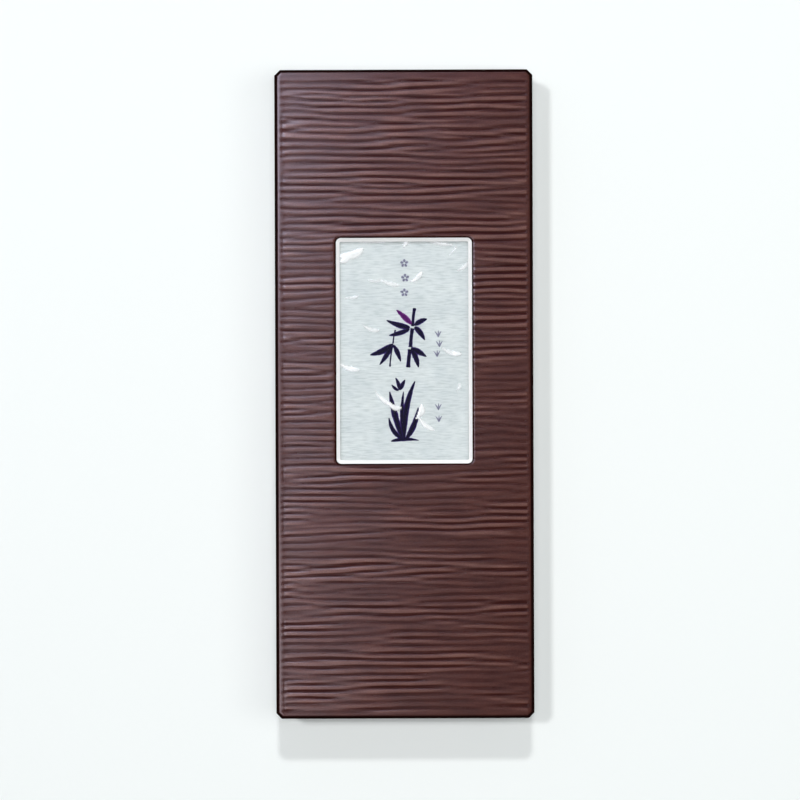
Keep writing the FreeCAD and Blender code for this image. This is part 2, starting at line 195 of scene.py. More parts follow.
GRASSES = ((8.6, 15.2), (8.9, 12.7), (8.3, 10.2), (8.6, -3.2), (8.7, -6.2))
BLADE_WIDTH = 0.42
BLADE_LEANS = (-0.9, 0.05, 0.8)
STROKE_POINTS = 25
THINNEST = 0.04
# Heights above the band of a stroke's edges, and of its middle above and below them
STROKE_GAP = 0.012
STROKE_RIDGE = 0.02
STROKE_KEEL = 0.008

# Stage, in metres
FLOOR_HALF = 1.5
CAMERA_HEIGHT = 0.8
CAMERA_OFFSET = (-0.0011, -0.0015)
CAMERA_TURN = -0.2
# Width of the view at the height of the lid's top
VIEW_WIDTH = 0.2012
WHITE = (1, 1, 1)
# Name, place, width, length, share of the light on the table, colour, and whether gloss mirrors it and the
# table gets it
LIGHTS = (
    ("overhead", (0.0, 0.0, 1.0), 0.14, 0.14, 0.25, WHITE, False, True),
    ("side_softbox", (0.36, 0.0, 1.0), 0.6, 0.3, 0.14, WHITE, False, True),
    ("lamp_back", (0.0, 1.24, 2.2), 0.16, 0.16, 0.205, WHITE, False, True),
    ("lamp_left", (-0.6, 0.3, 2.4), 0.16, 0.16, 0.215, WHITE, False, True),
    ("strip_back", (-0.206, 0.53, 0.5), 0.28, 0.96, 0.72, (0.73, 0.76, 0.98), True, False),
    ("strip_front", (-0.206, -0.15, 0.5), 0.28, 0.25, 0.34, (0.82, 0.76, 0.86), True, False),
)


def node_box(name):
    """Lowest and highest corners of a CAD node, in millimetres."""
    low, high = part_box(name)
    return np.array(low) / MM, np.array(high) / MM


def window_box():
    """Lowest and highest x and y of the window's outline in the lid paper, in millimetres."""
    points = np.array([v.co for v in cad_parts["lid_cover_paper"].data.vertices]) / MM
    _, high = node_box("lid_cover_paper")
    on_top = points[:, 2] > high[2] - 0.01
    inside = np.abs(points[:, 0]) < 0.7 * high[0]
    outline = points[on_top & inside]
    return outline[:, :2].min(0), outline[:, :2].max(0)


# Mesh making


def add_object(name, data):
    """A new object in the scene."""
    thing = bpy.data.objects.new(name, data)
    bpy.context.scene.collection.objects.link(thing)
    return thing


class Surface:
    """Points and faces of one mesh, with a few numbers kept at each point."""

    def __init__(self):
        self.points = []
        self.faces = []
        self.extra = []

    def add(self, points, extra=None):
        """Adds points and returns their indices."""
        start = len(self.points)
        self.points.extend(points)
        self.extra.extend(extra or [()] * len(points))
        return list(range(start, len(self.points)))

    def grid(self, rows, flip=False):
        """Quads between neighbouring rows of the same length."""
        for first, second in zip(rows, rows[1:]):
            for i in range(len(first) - 1):
                quad = (first[i], first[i + 1], second[i + 1], second[i])
                self.faces.append(quad[::-1] if flip else quad)

    def zip_rows(self, first, second, flip=False):
        """Triangles between two rows of any lengths that run the same way."""
        along = []
        for row in (first, second):
            places = np.array([self.points[i] for i in row])
            steps = np.linalg.norm(np.diff(places, axis=0), axis=1)
            along.append([0, *np.cumsum(steps) / max(sum(steps), TINY), math.inf])
        i = j = 0
        while i < len(first) - 1 or j < len(second) - 1:
            if along[0][i + 1] <= along[1][j + 1]:
                face = (first[i], first[i + 1], second[j])
                i += 1
            else:
                face = (first[i], second[j + 1], second[j])
                j += 1
            if len(set(face)) == 3:
                self.faces.append(face[::-1] if flip else face)

    def thicken(self, depth):
        """Adds a second skin, depth behind the faces, and joins the two along the open edges."""
        places = np.array(self.points, float)
        normals = np.zeros_like(places)
        used = set()
        for face in self.faces:
            spokes = places[list(face)] - places[face[0]]
            normals[list(face)] += np.cross(spokes[:-1], spokes[1:]).sum(0)
            used.update(zip(face, face[1:] + face[:1]))
        length = np.maximum(np.linalg.norm(normals, axis=1), TINY**2)
        behind = places - normals / length[:, None] * depth
        count = len(places)
        self.add(behind, self.extra[:])
        self.faces += [tuple(i + count for i in face[::-1]) for face in self.faces]
        for before, after in used:
            if (after, before) not in used:
                self.faces.append((after, before, before + count, after + count))

    def make(self, name, smooth_angle):
        """The mesh object, in metres, with smooth shading up to an angle in degrees."""
        mesh = bpy.data.meshes.new(name)
        mesh.from_pydata((np.array(self.points, float) * MM).tolist(), [], self.faces)
        mesh.validate()
        mesh.shade_smooth()
        mesh.set_sharp_from_angle(angle=math.radians(smooth_angle))
        return add_object(name, mesh)


def spread(first, last, step):
    """Evenly spaced values from first to last, about step apart."""
    count = max(1, round(abs(last - first) / step))
    return list(np.linspace(first, last, count + 1))


def keep_number(piece, name, values):
    """Stores one number at each point of a mesh."""
    attribute = piece.data.attributes.new(name, "FLOAT", "POINT")
    attribute.data.foreach_set("value", np.asarray(values, np.float32))


def smooth_step(low, high, values):
    """0 below low, 1 above high, smooth between."""
    t = np.clip((np.asarray(values, float) - low) / (high - low), 0, 1)
    return t * t * (3 - 2 * t)


def between(rise, fall, values):
    """1 between two spans of values and 0 outside them, smooth across them."""
    return smooth_step(*rise, values) * (1 - smooth_step(*fall, values))


def curve(start, bend, end, t):
    """Place at t, from 0 to 1, on a curve from start to end that is drawn towards bend."""
    return (1 - t) ** 2 * start + 2 * t * (1 - t) * bend + t * t * end


class WaveField:
    """Height made of many long waves whose crests run nearly along u, so that they wander, fork and end."""

    def __init__(self, pitch, pitch_spread, crest_length, waves, seed):
        draw = np.random.default_rng(seed)
        self.across = 2 * math.pi / pitch * (1 + pitch_spread * draw.normal(size=waves))
        self.along = 2 * math.pi / crest_length * draw.normal(size=waves)
        self.phase = draw.uniform(0, 2 * math.pi, waves)
        self.scale = math.sqrt(2 / waves)

    def height(self, u, v):
        """About -1 to 1, at points u along the crests and v across them."""
        waves = zip(self.across, self.along, self.phase)
        total = sum(np.cos(across * v + along * u + phase) for across, along, phase in waves)
        return np.tanh(1.15 * self.scale * total)


# Lid paper


def crossed(axis, along_axis, other):
    """x and y, or the numbers of a column and a line, from the one along an axis and the other."""
    return (along_axis, other) if axis == 0 else (other, along_axis)


def in_window(place, hole, margin=0.0):
    """Whether a place lies in the window's box, by more than a margin."""
    return all(low + margin < p < high - margin for p, low, high in zip(place, *hole))


def run_between(before, after):
    """Length along a wall between two places (shift, inset, z) of its profile."""
    return math.dist((before[0] + before[1], before[2]), (after[0] + after[1], after[2]))


class TraySkin:
    """One skin of a paper-covered tray: a panel with cut corners and a window, and four walls. Each point
    keeps its place on the flat sheet, its outward direction and its distance beyond the panel's edge."""

    def __init__(self, surface, half, lines, profiles, hole, flip):
        # Half sizes, grid lines and wall profiles are for x, then y. Profiles start at the panel's edge.
        self.surface = surface
        self.half = half
        self.lines = lines
        self.profiles = profiles
        self.hole = hole
        self.flip = flip
        self.index = {}

    def add_panel_point(self, x, y):
        """Adds a point of the panel and returns its index."""
        beyond = -min(self.lines[0][-1] - abs(x), self.lines[1][-1] - abs(y))
        z = self.profiles[0][0][2]
        return self.surface.add([(x, y, z)], [(x, y, 0.0, 0.0, 1.0, beyond)])[0]

    def add_face(self, face, turned=False):
        """Adds a face, turned round or not."""
        self.surface.faces.append(tuple(face[::-1] if turned != self.flip else face))

    def add_panel(self):
        """Adds the panel, with square corners to its window."""
        columns, lines = self.lines
        for j, y in enumerate(lines):
            for i, x in enumerate(columns):
                at_corner = i in (0, len(columns) - 1) and j in (0, len(lines) - 1)
                if not at_corner and not in_window((x, y), self.hole, TINY):
                    self.index[(i, j)] = self.add_panel_point(x, y)
        for i in range(len(columns) - 1):
            for j in range(len(lines) - 1):
                middle = ((columns[i] + columns[i + 1]) / 2, (lines[j] + lines[j + 1]) / 2)
                if not in_window(middle, self.hole):
                    around = ((i, j), (i + 1, j), (i + 1, j + 1), (i, j + 1))
                    self.add_face([self.index[k] for k in around if k in self.index])

    def add_wall(self, axis, sign):
        """Adds the wall that faces along an axis. Returns its rows of points, from the panel's edge."""
        edge = len(self.lines[axis]) - 1 if sign > 0 else 0
        rows = [[self.index[crossed(axis, edge, k)] for k in range(1, len(self.lines[1 - axis]) - 1)]]
        profile = self.profiles[axis]
        run = 0.0
        for before, after in zip(profile, profile[1:]):
            run += run_between(before, after)
            shift, inset, z = after
            out, reach = (self.half[k] - shift - inset for k in (axis, 1 - axis))
            reach -= CORNER_LEG - LEG_SHARE * inset
            places = [-reach, *self.lines[1 - axis][2:-2], reach]
            sheet = sign * (self.lines[axis][-1] + run)
            direction = (*crossed(axis, sign, 0.0), 0.0)
            points = [(*crossed(axis, sign * out, place), z) for place in places]
            extra = [(*crossed(axis, sheet, place), *direction, run) for place in places]
            rows.append(self.surface.add(points, extra))
        turned = (sign > 0) == (axis == 0)
        self.surface.grid(rows, turned != self.flip)
        return rows

    def add_walls(self):
        """Adds the four walls and their cut corners. Returns the closed loop of points at their ends."""
        walls = {(axis, sign): self.add_wall(axis, sign) for sign in (1, -1) for axis in (0, 1)}
        for sign_x in (1, -1):
            for sign_y in (1, -1):
                long_chain = [row[-1 if sign_y > 0 else 0] for row in walls[(0, sign_x)]]
                end_chain = [row[-1 if sign_x > 0 else 0] for row in walls[(1, sign_y)]]
                self.surface.zip_rows(long_chain, end_chain, (sign_x == sign_y) == self.flip)
        right, back, left, front = (walls[key][-1] for key in ((0, 1), (1, 1), (0, -1), (1, -1)))
        loop = right + back[::-1] + left[::-1] + front
        return loop + loop[:1]

    def round_window(self):
        """Fills the window's corners to a radius. Returns the closed loop of points round the window."""
        marks = []
        for axis, lines in enumerate(self.lines):
            stops = window_stops(self.hole[0][axis], self.hole[1][axis], ())
            marks.append([lines.index(stop) for stop in stops])
        loop = []
        for signs in ((1, 1), (-1, 1), (-1, -1), (1, -1)):
            nearest = [m[::-1] if sign > 0 else m for m, sign in zip(marks, signs)]
            (i, arc_i), (j, arc_j) = (m[:2] for m in nearest)
            sign_x, sign_y = signs
            side = [self.index[(i, k)] for k in range(j - sign_y, arc_j - sign_y, -sign_y)]
            end = [self.index[(k, j)] for k in range(i - sign_x, arc_i - sign_x, -sign_x)]
            arc = []
            for turn in np.linspace(0, math.pi / 2, ARC_STEPS + 1)[1:-1]:
                x = self.lines[0][i] + sign_x * WINDOW_RADIUS * (math.cos(turn) - 1)
                y = self.lines[1][j] + sign_y * WINDOW_RADIUS * (math.sin(turn) - 1)
                arc.append(self.add_panel_point(x, y))
            left_turn = sign_x == sign_y
            self.add_face([self.index[(i, j)]] + side + arc + end[::-1], left_turn)
            chain = [side[-1]] + arc + [end[-1]]
            loop += chain if left_turn else chain[::-1]
            # The straight run to the next corner
            axis, fixed = (0, j) if left_turn else (1, i)
            _, first, last, _ = nearest[axis]
            run = range(first - signs[axis], last, -signs[axis])
            loop += [self.index[crossed(axis, k, fixed)] for k in run]
        return loop + loop[:1]


def profile_rows(points, step):
    """A profile with more places on its longer runs."""
    rows = [points[0]]
    for before, after in zip(points, points[1:]):
        count = max(1, round(run_between(before, after) / step))
        rows += list(np.linspace(before, after, count + 1)[1:])
    return rows


def grid_lines(half, leg, step, stops):
    """Grid lines from -half to half, with lines at the corner leg and at each of the stops."""
    marks = sorted([leg - half, half - leg, *stops])
    lines = [-half]
    for low, high in zip(marks, marks[1:]):
        lines += spread(low, high, step)[:-1]
    return lines + [marks[-1], half]


def window_stops(low, high, rolls):
    """Places of grid lines on a window's two sides, at its round corners and just outside it."""
    stops = [low, low + WINDOW_RADIUS, high - WINDOW_RADIUS, high]
    for roll in rolls:
        stops += [low - roll, high + roll]
    return stops


def outside_window(x, y, hole):
    """Distance from the window's rounded outline, outside it."""
    middle = (hole[0] + hole[1]) / 2
    core = (hole[1] - hole[0]) / 2 - WINDOW_RADIUS
    away = np.maximum(np.abs(np.stack([x, y], 1) - middle) - core, 0)
    return np.maximum(np.hypot(away[:, 0], away[:, 1]) - WINDOW_RADIUS, 0)


def lid_profile(rim, top, depth):
    """Profile of the lid paper's skin that lies depth inside its outer face: round the panel's edge, down
    the wall, round the rim and up the inside."""
    inner_top = rim + TURN_IN
    rim += depth
    top -= depth
    radius = EDGE_RADIUS - depth
    board_inside = 2 * LID_PAPER + LID_BOARD - depth
    angle = math.atan(LID_LEAN)
    centre_shift = LID_LEAN * (top - rim - radius)
    centre_inset = depth + radius / math.cos(angle)
    points = []
    for turn in np.linspace(math.pi / 2, angle, ARC_STEPS + 1):
        inset = centre_inset - radius * math.cos(turn)
        points.append((centre_shift, inset, top - radius + radius * math.sin(turn)))
    points.append((0.0, depth, rim))
    points.append((0.0, board_inside, rim))
    points.append((LID_LEAN * (inner_top - rim), board_inside, inner_top))
    return points


def add_lid_skin(surface, hole, depth):
    """Adds the lid paper's skin that lies depth inside its outer face. Returns its loop at the end of the
    turned-in paper, its loop round the window, and the half sizes of its panel."""
    low, high = node_box("lid_cover_paper")
    is_outer = depth == 0
    profile = lid_profile(low[2], high[2], depth)
    shift, inset, _ = profile[0]
    panel = high[:2] - shift - inset
    leg = CORNER_LEG - LEG_SHARE * inset
    rounding, wall = profile[:ARC_STEPS], profile[ARC_STEPS:]
    if is_outer:
        steps, rolls = OUTER_STEPS, ROLL_LINES
        profiles = [rounding + profile_rows(wall, step) for step in steps[2:]]
    else:
        steps, rolls = INNER_STEPS, ()
        profiles = [rounding[::2] + wall] * 2
    stops = [window_stops(hole[0][axis], hole[1][axis], rolls) for axis in (0, 1)]
    if is_outer:
        stops[0] += [sign * (panel[0] - place) for place in BORDER_LINES for sign in (-1, 1)]
    lines = [grid_lines(panel[axis], leg, steps[axis], stops[axis]) for axis in (0, 1)]
    skin = TraySkin(surface, high[:2], lines, profiles, hole, not is_outer)
    skin.add_panel()
    return skin.add_walls(), skin.round_window(), panel


def emboss(surface, fine, panel, hole):
    """Presses the ripples, the pressed line and the rolled edge into the first fine points of the paper.
    Returns the relief and the share of turned paper at each point."""
    _, high = node_box("lid_cover_paper")
    extra = np.array(surface.extra, float)
    u, v, run = extra[:, 0], extra[:, 1], extra[:, 5]
    relief, swell, small = (WaveField(*waves).height(u, v) for waves in (RIPPLES, SWELL, SMALL_RIPPLES))
    relief = np.clip(relief + SMALL_SHARE * small, -1, 1)
    relief = 1 - 2 * (0.5 - 0.5 * relief) ** VALLEY_POWER
    even, swelling, growing = DEPTH_SHARES
    relief *= np.clip(even + swelling * swell + growing * v / high[1] * (0.3 + u / high[0]), 0.3, 1.2)

    flat = run < 0
    beside = outside_window(u, v, hole)
    rolled = 1 - smooth_step(0.0, WINDOW_ROLL, beside)
    border = np.minimum(panel[0] + u, panel[1] - v)
    border = np.minimum(border, np.minimum(panel[0] - u, panel[1] + v) + PRESSED_LINE)
    past_line = smooth_step(PRESSED_LINE - 0.3, PRESSED_LINE + 0.9, border)
    on_panel = (BORDER_SHARE + (1 - BORDER_SHARE) * past_line) * smooth_step(0.1, 0.8, border)
    on_panel *= smooth_step(-0.3, 1.2, beside)
    fade = np.where(flat, on_panel, WALL_SHARE * between(*WALL_RIPPLES, run))
    pressed = np.where(flat, np.exp(-(((border - PRESSED_LINE) / PRESSED_HALF) ** 2)), 0)
    pressed *= 0.3 + 0.3 * swell
    # The lip between the panel's edge and the pressed line is painted lighter, a painted highlight
    lip = np.where(flat, 1 - smooth_step(PRESSED_LINE - 0.35, PRESSED_LINE - 0.1, border), 1)
    lip = lip * (1 - smooth_step(0.0, 0.3, run))
    turned = between(*WALL_TURNED, run)
    for values in (fade, rolled, pressed, lip, turned):
        values[fine:] = 0
    drop = (RIPPLE_DEPTH / 2 * (1 - relief) - RIPPLE_RISE) * fade
    drop += PRESSED_DEPTH * pressed + WINDOW_DROP * rolled
    points = np.array(surface.points, float) - extra[:, 2:5] * drop[:, None]
    surface.points = list(points)
    # For the colour, rolled and pressed paper counts as deep, which paints shade there, and the lip as
    # raised, which paints a highlight
    return relief * fade - 1.4 * rolled - 0.5 * pressed + 0.12 * lip, np.maximum(turned, rolled)


def make_lid_paper():
    """The embossed paper of the lid: a rippled outer skin and a plain inner skin, closed into one sheet."""
    hole = window_box()
    surface = Surface()
    outer_end, outer_window, panel = add_lid_skin(surface, hole, 0.0)
    fine = len(surface.points)
    inner_end, inner_window, _ = add_lid_skin(surface, hole, LID_PAPER)
    surface.zip_rows(outer_end, inner_end)
    surface.zip_rows(outer_window, inner_window, True)
    relief, turned = emboss(surface, fine, panel, hole)
    piece = surface.make("lid_embossed_paper", 50)
    keep_number(piece, "relief", relief)
    keep_number(piece, "turned", turned)
    return piece


# Film


def crease_fields(x, y):
    """Height of the film's creases, and the painted highlight along them, at points x, y."""
    height = np.zeros(len(x))
    white = np.zeros(len(x))
    for middle_x, middle_y, length, width, angle, strength in CREASES:
        turn = math.radians(angle)
        out_x, out_y = x - middle_x, y - middle_y
        along = (out_x * math.cos(turn) + out_y * math.sin(turn)) / (0.58 * length)
        across = out_y * math.cos(turn) - out_x * math.sin(turn)
        taper = np.clip(1 - along**2, 0, 1)
        half_width = 0.8 * width * taper**0.7 * np.clip(1 + 0.5 * along, 0.2, 2) + 0.02
        off_crest = across - 0.3 * width * along**2
        steep = np.where(off_crest > 0, 0.45, 1.0)
        crest = np.clip(1 - np.abs(off_crest) / (steep * half_width), 0, 1)
        crest = crest * smooth_step(0, 0.2, taper)
        height = np.maximum(height, CREASE_HEIGHT * strength * crest)
        # The white along each crest is a painted highlight of the crinkled film
        white = np.maximum(white, strength * smooth_step(0.0, 0.55, crest))
    return height, white


def from_middle(degrees):
    """Step from the middle of a round edge of the film to its face, in a direction."""
    return FILM_RADIUS * np.array([math.cos(math.radians(degrees)), math.sin(math.radians(degrees))])


def make_film():
    """Crinkled clear film sleeve, sealed across its -Y end and open at its +Y end."""
    low, high = node_box("film_sleeve")
    half_x, half_z = high[0] - FILM_GAP, (high[2] - low[2]) / 2 - FILM_GAP
    middle_z = (low[2] + high[2]) / 2
    flat_x, flat_z = half_x - FILM_RADIUS, half_z - FILM_RADIUS
    core = np.array([(-flat_x, flat_z), (flat_x, flat_z), (flat_x, -flat_z), (-flat_x, -flat_z)])
    loop = []
    for k, step in enumerate((FILM_STEP, 2.0, 3.0, 2.0)):
        start, end = core[k], core[(k + 1) % 4]
        shares = spread(0, 1, step / math.dist(start, end))
        loop += [start + (end - start) * share + from_middle(90 - 90 * k) for share in shares]
        loop += [end + from_middle(90 - 90 * k - turn) for turn in (22.5, 45.0, 67.5)]
    seen_low, seen_high = FILM_FINE
    lines = spread(high[1], seen_high, 3 * FILM_STEP)[:-1]
    lines += spread(seen_high, seen_low, FILM_STEP)[:-1]
    lines += spread(seen_low, low[1] + 0.5, 3 * FILM_STEP)
    # Shares of the height, where the sealed end rounds off
    places = [(y, 1.0) for y in lines]
    places += [(low[1] + 0.12 - 0.1 * (1 - share), share) for share in (0.97, 0.9, 0.7, 0.45, 0.2)]
    surface = Surface()
    rows = []
    for y, share in places:
        row = surface.add([(x, y, middle_z + z * share) for x, z in loop])
        rows.append(row + row[:1])
    surface.grid(rows, True)
    surface.faces.append(tuple(rows[-1][:-1][::-1]))

    points = np.array(surface.points, float)
    x, y, z = points.T
    slack = WaveField(*FILM_SLACK)
    height, white = crease_fields(x, y)
    top, under = (smooth_step(0.75, 0.98, sign * (z - middle_z) / half_z) for sign in (1, -1))
    loose = np.clip((high[1] - y) / 4, 0.3, 1)
    waves = slack.height(x, y) + 0.6 * slack.height(y, x)
    points[:, 2] += top * loose * (SLACK_HEIGHT * waves + height - 0.1)
    points[:, 2] += 0.03 * under * slack.height(y, x)
    surface.points = list(points)
    # The painted crease highlights, kept on the film's top
    surface.extra = list(white * top)
    surface.thicken(FILM_WALL)
    piece = surface.make("film_crinkled", 60)
    keep_number(piece, "white", surface.extra)
    return piece


# Brushed motif


def brush_strokes():
    """All strokes: bamboo, an orchid, small blossoms and tufts of grass."""
    strokes = [("stalk", "ink", *stalk) for stalk in STALKS]
    strokes.append(("leaf", "plum", *PLUM_LEAF))
    strokes += [("leaf", "ink", *leaf) for leaf in LEAVES]
    for x, y in BLOSSOMS:
        for petal in range(5):
            turn = math.radians(90 + 72 * petal + 8 * x)
            points = [(x + reach * math.cos(turn), y + reach * math.sin(turn)) for reach in PETAL_REACH]
            strokes.append(("petal", "grey", PETAL_WIDTH, *points))
    for x, y in GRASSES:
        for lean in BLADE_LEANS:
            points = [(x, y - 0.9), (x + 0.3 * lean, y), (x + lean, y + 0.9 - 0.3 * abs(lean))]
            strokes.append(("leaf", "grey", BLADE_WIDTH, *points))
    return strokes


def half_width(kind, width, t):
    """Half the width of a stroke at t, from 0 at its start to 1 at its end."""
    if kind == "petal":
        return width * math.sqrt(max(0.0, t * (1 - t)))
    if kind == "leaf":
        return width / 2 * (math.sin(math.pi * (0.04 + 0.93 * t**0.8)) ** 0.75)
    blunt = min(1, 12 * t + 0.5, 12 * (1 - t) + 0.5)
    return width / 2 * (0.78 + 0.35 * (2 * t - 1) ** 4) * blunt


def make_strokes():
    """One thin closed ribbon for each brush stroke, lying on the top of the band."""
    _, high = node_box("paper_band")
    level = high[2] + STROKE_GAP
    draw = np.random.default_rng(SEED + 4)
    surface = Surface()
    for kind, tone, width, start, bend, end in brush_strokes():
        start, bend, end = (np.array(p) for p in (start, bend, end))
        rings = []
        ragged = draw.normal(size=STROKE_POINTS)
        for k, t in enumerate(np.linspace(0, 1, STROKE_POINTS)):
            place = curve(start, bend, end, t)
            along = 2 * (1 - t) * (bend - start) + 2 * t * (end - bend)
            side = np.array([-along[1], along[0]]) / max(np.linalg.norm(along), TINY)
            half = max(half_width(kind, width, t) * (1 + 0.05 * ragged[k]), THINNEST)
            section = ((half, 0, 1.0), (0, STROKE_RIDGE, 0.0), (-half, 0, 1.0), (0, -STROKE_KEEL, 0.0))
            points = [(*(place + side * out), level + up) for out, up, _ in section]
            ring = surface.add(points, [(edge, TONES[tone]) for _, _, edge in section])
            rings.append(ring + ring[:1])
        surface.grid(rings)
        surface.faces.append(tuple(rings[0][:-1][::-1]))
        surface.faces.append(tuple(rings[-1][:-1]))
    piece = surface.make("brushed_motif", 80)
    for column, name in enumerate(("edge", "tone")):
        keep_number(piece, name, [numbers[column] for numbers in surface.extra])
    return piece


# Bed


def rounded_path(corners, counts):
    """Closed path with rounded corners (x, y, reach of the rounding) and counts of points on its runs."""
    points = []
    for k, (x, y, reach) in enumerate(corners):
        corner = np.array([x, y])
        before = np.array(corners[k - 1][:2]) - corner
        *next_corner, next_reach = corners[(k + 1) % len(corners)]
        after = np.array(next_corner) - corner
        start = corner + before / np.linalg.norm(before) * reach
        end = corner + after / np.linalg.norm(after) * reach
        stop = corner + after - after / np.linalg.norm(after) * next_reach
        points += [curve(start, corner, end, t) for t in np.linspace(0, 1, 7)]
        points += [end + (stop - end) * t for t in np.linspace(0, 1, counts[k] + 2)[1:-1]]
    return np.array(points)


def moved_out(path, distance):
    """A path moved outwards by a distance."""
    along = np.roll(path, -1, 0) - np.roll(path, 1, 0)
    along /= np.linalg.norm(along, axis=1)[:, None]
    return path + np.stack([along[:, 1], -along[:, 0]], 1) * distance


def bed_paths():
    """The recess's outline and the bed's outline."""
    _, high = node_box("bed_cloth")
    side, back = high[:2]
    x_in, y_in = RECESS_HALF
    # Corners of a quarter, from its end to its notch: x, y and rounding of the recess's, then of the bed's
    corners = (
        (x_in, y_in, RECESS_RADIUS, side, back, BED_LEG),
        (x_in, NOTCH_HALF, NOTCH_FOOT, side, NOTCH_HALF, NOTCH_FOOT),
        (NOTCH_REACH, NOTCH_HALF, NOTCH_RADIUS, side, NOTCH_HALF - 4.0, 2.0),
    )
    inner, outer = [], []
    for sign_x in (1, -1):
        for sign_y, order in ((-sign_x, corners), (sign_x, corners[::-1])):
            for x, y, rounding, far_x, far_y, far_rounding in order:
                inner.append((sign_x * x, sign_y * y, rounding))
                outer.append((sign_x * far_x, sign_y * far_y, far_rounding))
    return rounded_path(inner, BED_RUNS * 2), rounded_path(outer, BED_RUNS * 2)


def bed_surface(offset, bottom):
    """Bed, offset inside the cloth's outer face, with the row of points at the foot of its outer walls."""
    _, high = node_box("bed_cloth")
    top = high[2] - 0.02 - offset
    inner, outer = bed_paths()
    rounding = BED_ROUND - min(offset, 0.4)
    shoulder = top - rounding
    rows = [(moved_out(outer, -offset), z) for z in spread(bottom, shoulder, BED_STEP)]
    for turn in np.radians((20, 40, 60, 80, 90)):
        inset = offset + rounding * (1 - math.cos(turn))
        rows.append((moved_out(outer, -inset), shoulder + rounding * math.sin(turn)))
    rim_out = rows[-1][0]
    rim_in = moved_out(inner, offset + rounding)
    for share in (0.2, 0.4, 0.6, 0.8, 1.0):
        crown = BED_CROWN * math.sin(math.pi * share)
        rows.append((rim_out + (rim_in - rim_out) * share, top + crown))
    for turn in np.radians((80, 60, 40, 20, 0)):
        outset = offset + rounding * (1 - math.cos(turn))
        rows.append((moved_out(inner, outset), shoulder + rounding * math.sin(turn)))
    floor = RECESS_FLOOR - offset
    rows += [(moved_out(inner, offset), z) for z in spread(shoulder, floor + 0.6, BED_STEP)[1:]]
    rows.append((moved_out(inner, offset - 0.2), floor + 0.2))
    rows += [(moved_out(inner, offset - inset), floor) for inset in (0.7, 1.2, 1.8)]
    surface = Surface()
    loops = []
    for path, z in rows:
        loop = surface.add([(x, y, z) for x, y in path])
        loops.append(loop + loop[:1])
    surface.grid(loops)
    # The recess's floor, in strips from its left side to its right side
    rim = loops[-1][:-1]
    half, end_run = len(rim) // 2, BED_RUNS[-1]
    right, back_run = rim[: half - end_run], rim[half - end_run : half]
    left, front_run = rim[half:-end_run][::-1], rim[-end_run:]
    for i in range(len(right) - 1):
        face = [right[i], right[i + 1]]
        if i == len(right) - 2:
            face += back_run
        face += [left[i + 1], left[i]]
        if i == 0:
            face += front_run
        surface.faces.append(tuple(face))
    return surface, loops[0][:-1]


def make_foam():
    """Foam block of the bed, closed below."""
    _, card = node_box("bed_card")
    surface, foot = bed_surface(SATIN_THICKNESS + FOAM_GAP, card[2] + 0.02)
    surface.faces.append(tuple(foot[::-1]))
    return surface.make("bed_foam_pad", 50)


def make_satin():
    """Satin stretched over the foam, with small gathers at the inner corners."""
    low, _ = node_box("bed_cloth")
    surface, _ = bed_surface(0.0, low[2])
    points = np.array(surface.points, float)
    x, y, z = points.T
    change = np.zeros(len(points))
    for corner_x in (RECESS_HALF[0], -RECESS_HALF[0]):
        for corner_y in (RECESS_HALF[1], NOTCH_HALF, -RECESS_HALF[1], -NOTCH_HALF):
            away = np.hypot(x - corner_x, y - corner_y)
            folds = GATHER_HEIGHT * np.sin(GATHER_FOLDS * np.arctan2(y - corner_y, x - corner_x))
            change += folds * np.exp(-((away / GATHER_REACH) ** 2)) * smooth_step(0.3, 1.6, away)
    change += SAG_HEIGHT * WaveField(*SATIN_SAG).height(y, x)
    points[:, 2] += smooth_step(*SATIN_TOP, z) * change
    surface.points = list(points)
    surface.thicken(SATIN_THICKNESS)
    return surface.make("bed_satin", 50)


# Materials


def new_material(name):
    """A material, its node tree and its Principled shader."""
    material = bpy.data.materials.new(name)
    material.use_nodes = True
    tree = material.node_tree
    return material, tree, tree.nodes["Principled BSDF"]


def add_node(tree, kind, **values):
    """A node with some of its settings given."""
    node = tree.nodes.new(kind)
    for key, value in values.items():
        setattr(node, key, value)
    return node


def feed(tree, socket, value):
    """Links an input to a node's output, or sets it to a number or a colour."""
    if hasattr(value, "links"):
        tree.links.new(value, socket)
    else:
        socket.default_value = (*value, 1) if isinstance(value, tuple) else value


def paint(tree, shader, **values):
    """Feeds a node's inputs, whose names are given in lower case with underscores."""
    inputs = {socket.name.lower().replace(" ", "_"): socket for socket in shader.inputs}
    for name, value in values.items():
        feed(tree, inputs[name], value)


def object_place(tree):
    """The place in the object's own space, in metres."""
    return add_node(tree, "ShaderNodeTexCoord").outputs["Object"]


def object_noise(tree, size, detail=4.0, stretch=(1, 1, 1)):
    """Noise in the object's own space, with features of a size in millimetres."""
    mapping = add_node(tree, "ShaderNodeMapping")
    mapping.inputs["Scale"].default_value = tuple(1 / (size * MM * s) for s in stretch)
    noise = add_node(tree, "ShaderNodeTexNoise")
    tree.links.new(object_place(tree), mapping.inputs["Vector"])
    paint(tree, noise, scale=1.0, detail=detail, vector=mapping.outputs["Vector"])
    return noise.outputs["Fac"]


def ramp(tree, value, stops):
    """Colours along a value."""
    node = add_node(tree, "ShaderNodeValToRGB")
    elements = node.color_ramp.elements
    while len(elements) < len(stops):
        elements.new(0.5)
    for element, (place, colour) in zip(elements, stops):
        element.position = place
        element.color = (*colour, 1)
    tree.links.new(value, node.inputs["Fac"])
    return node.outputs["Color"]


def greys(low, high, first=0.3, last=0.7):
    """Stops of a ramp from one grey to another."""
    return (first, (low,) * 3), (last, (high,) * 3)


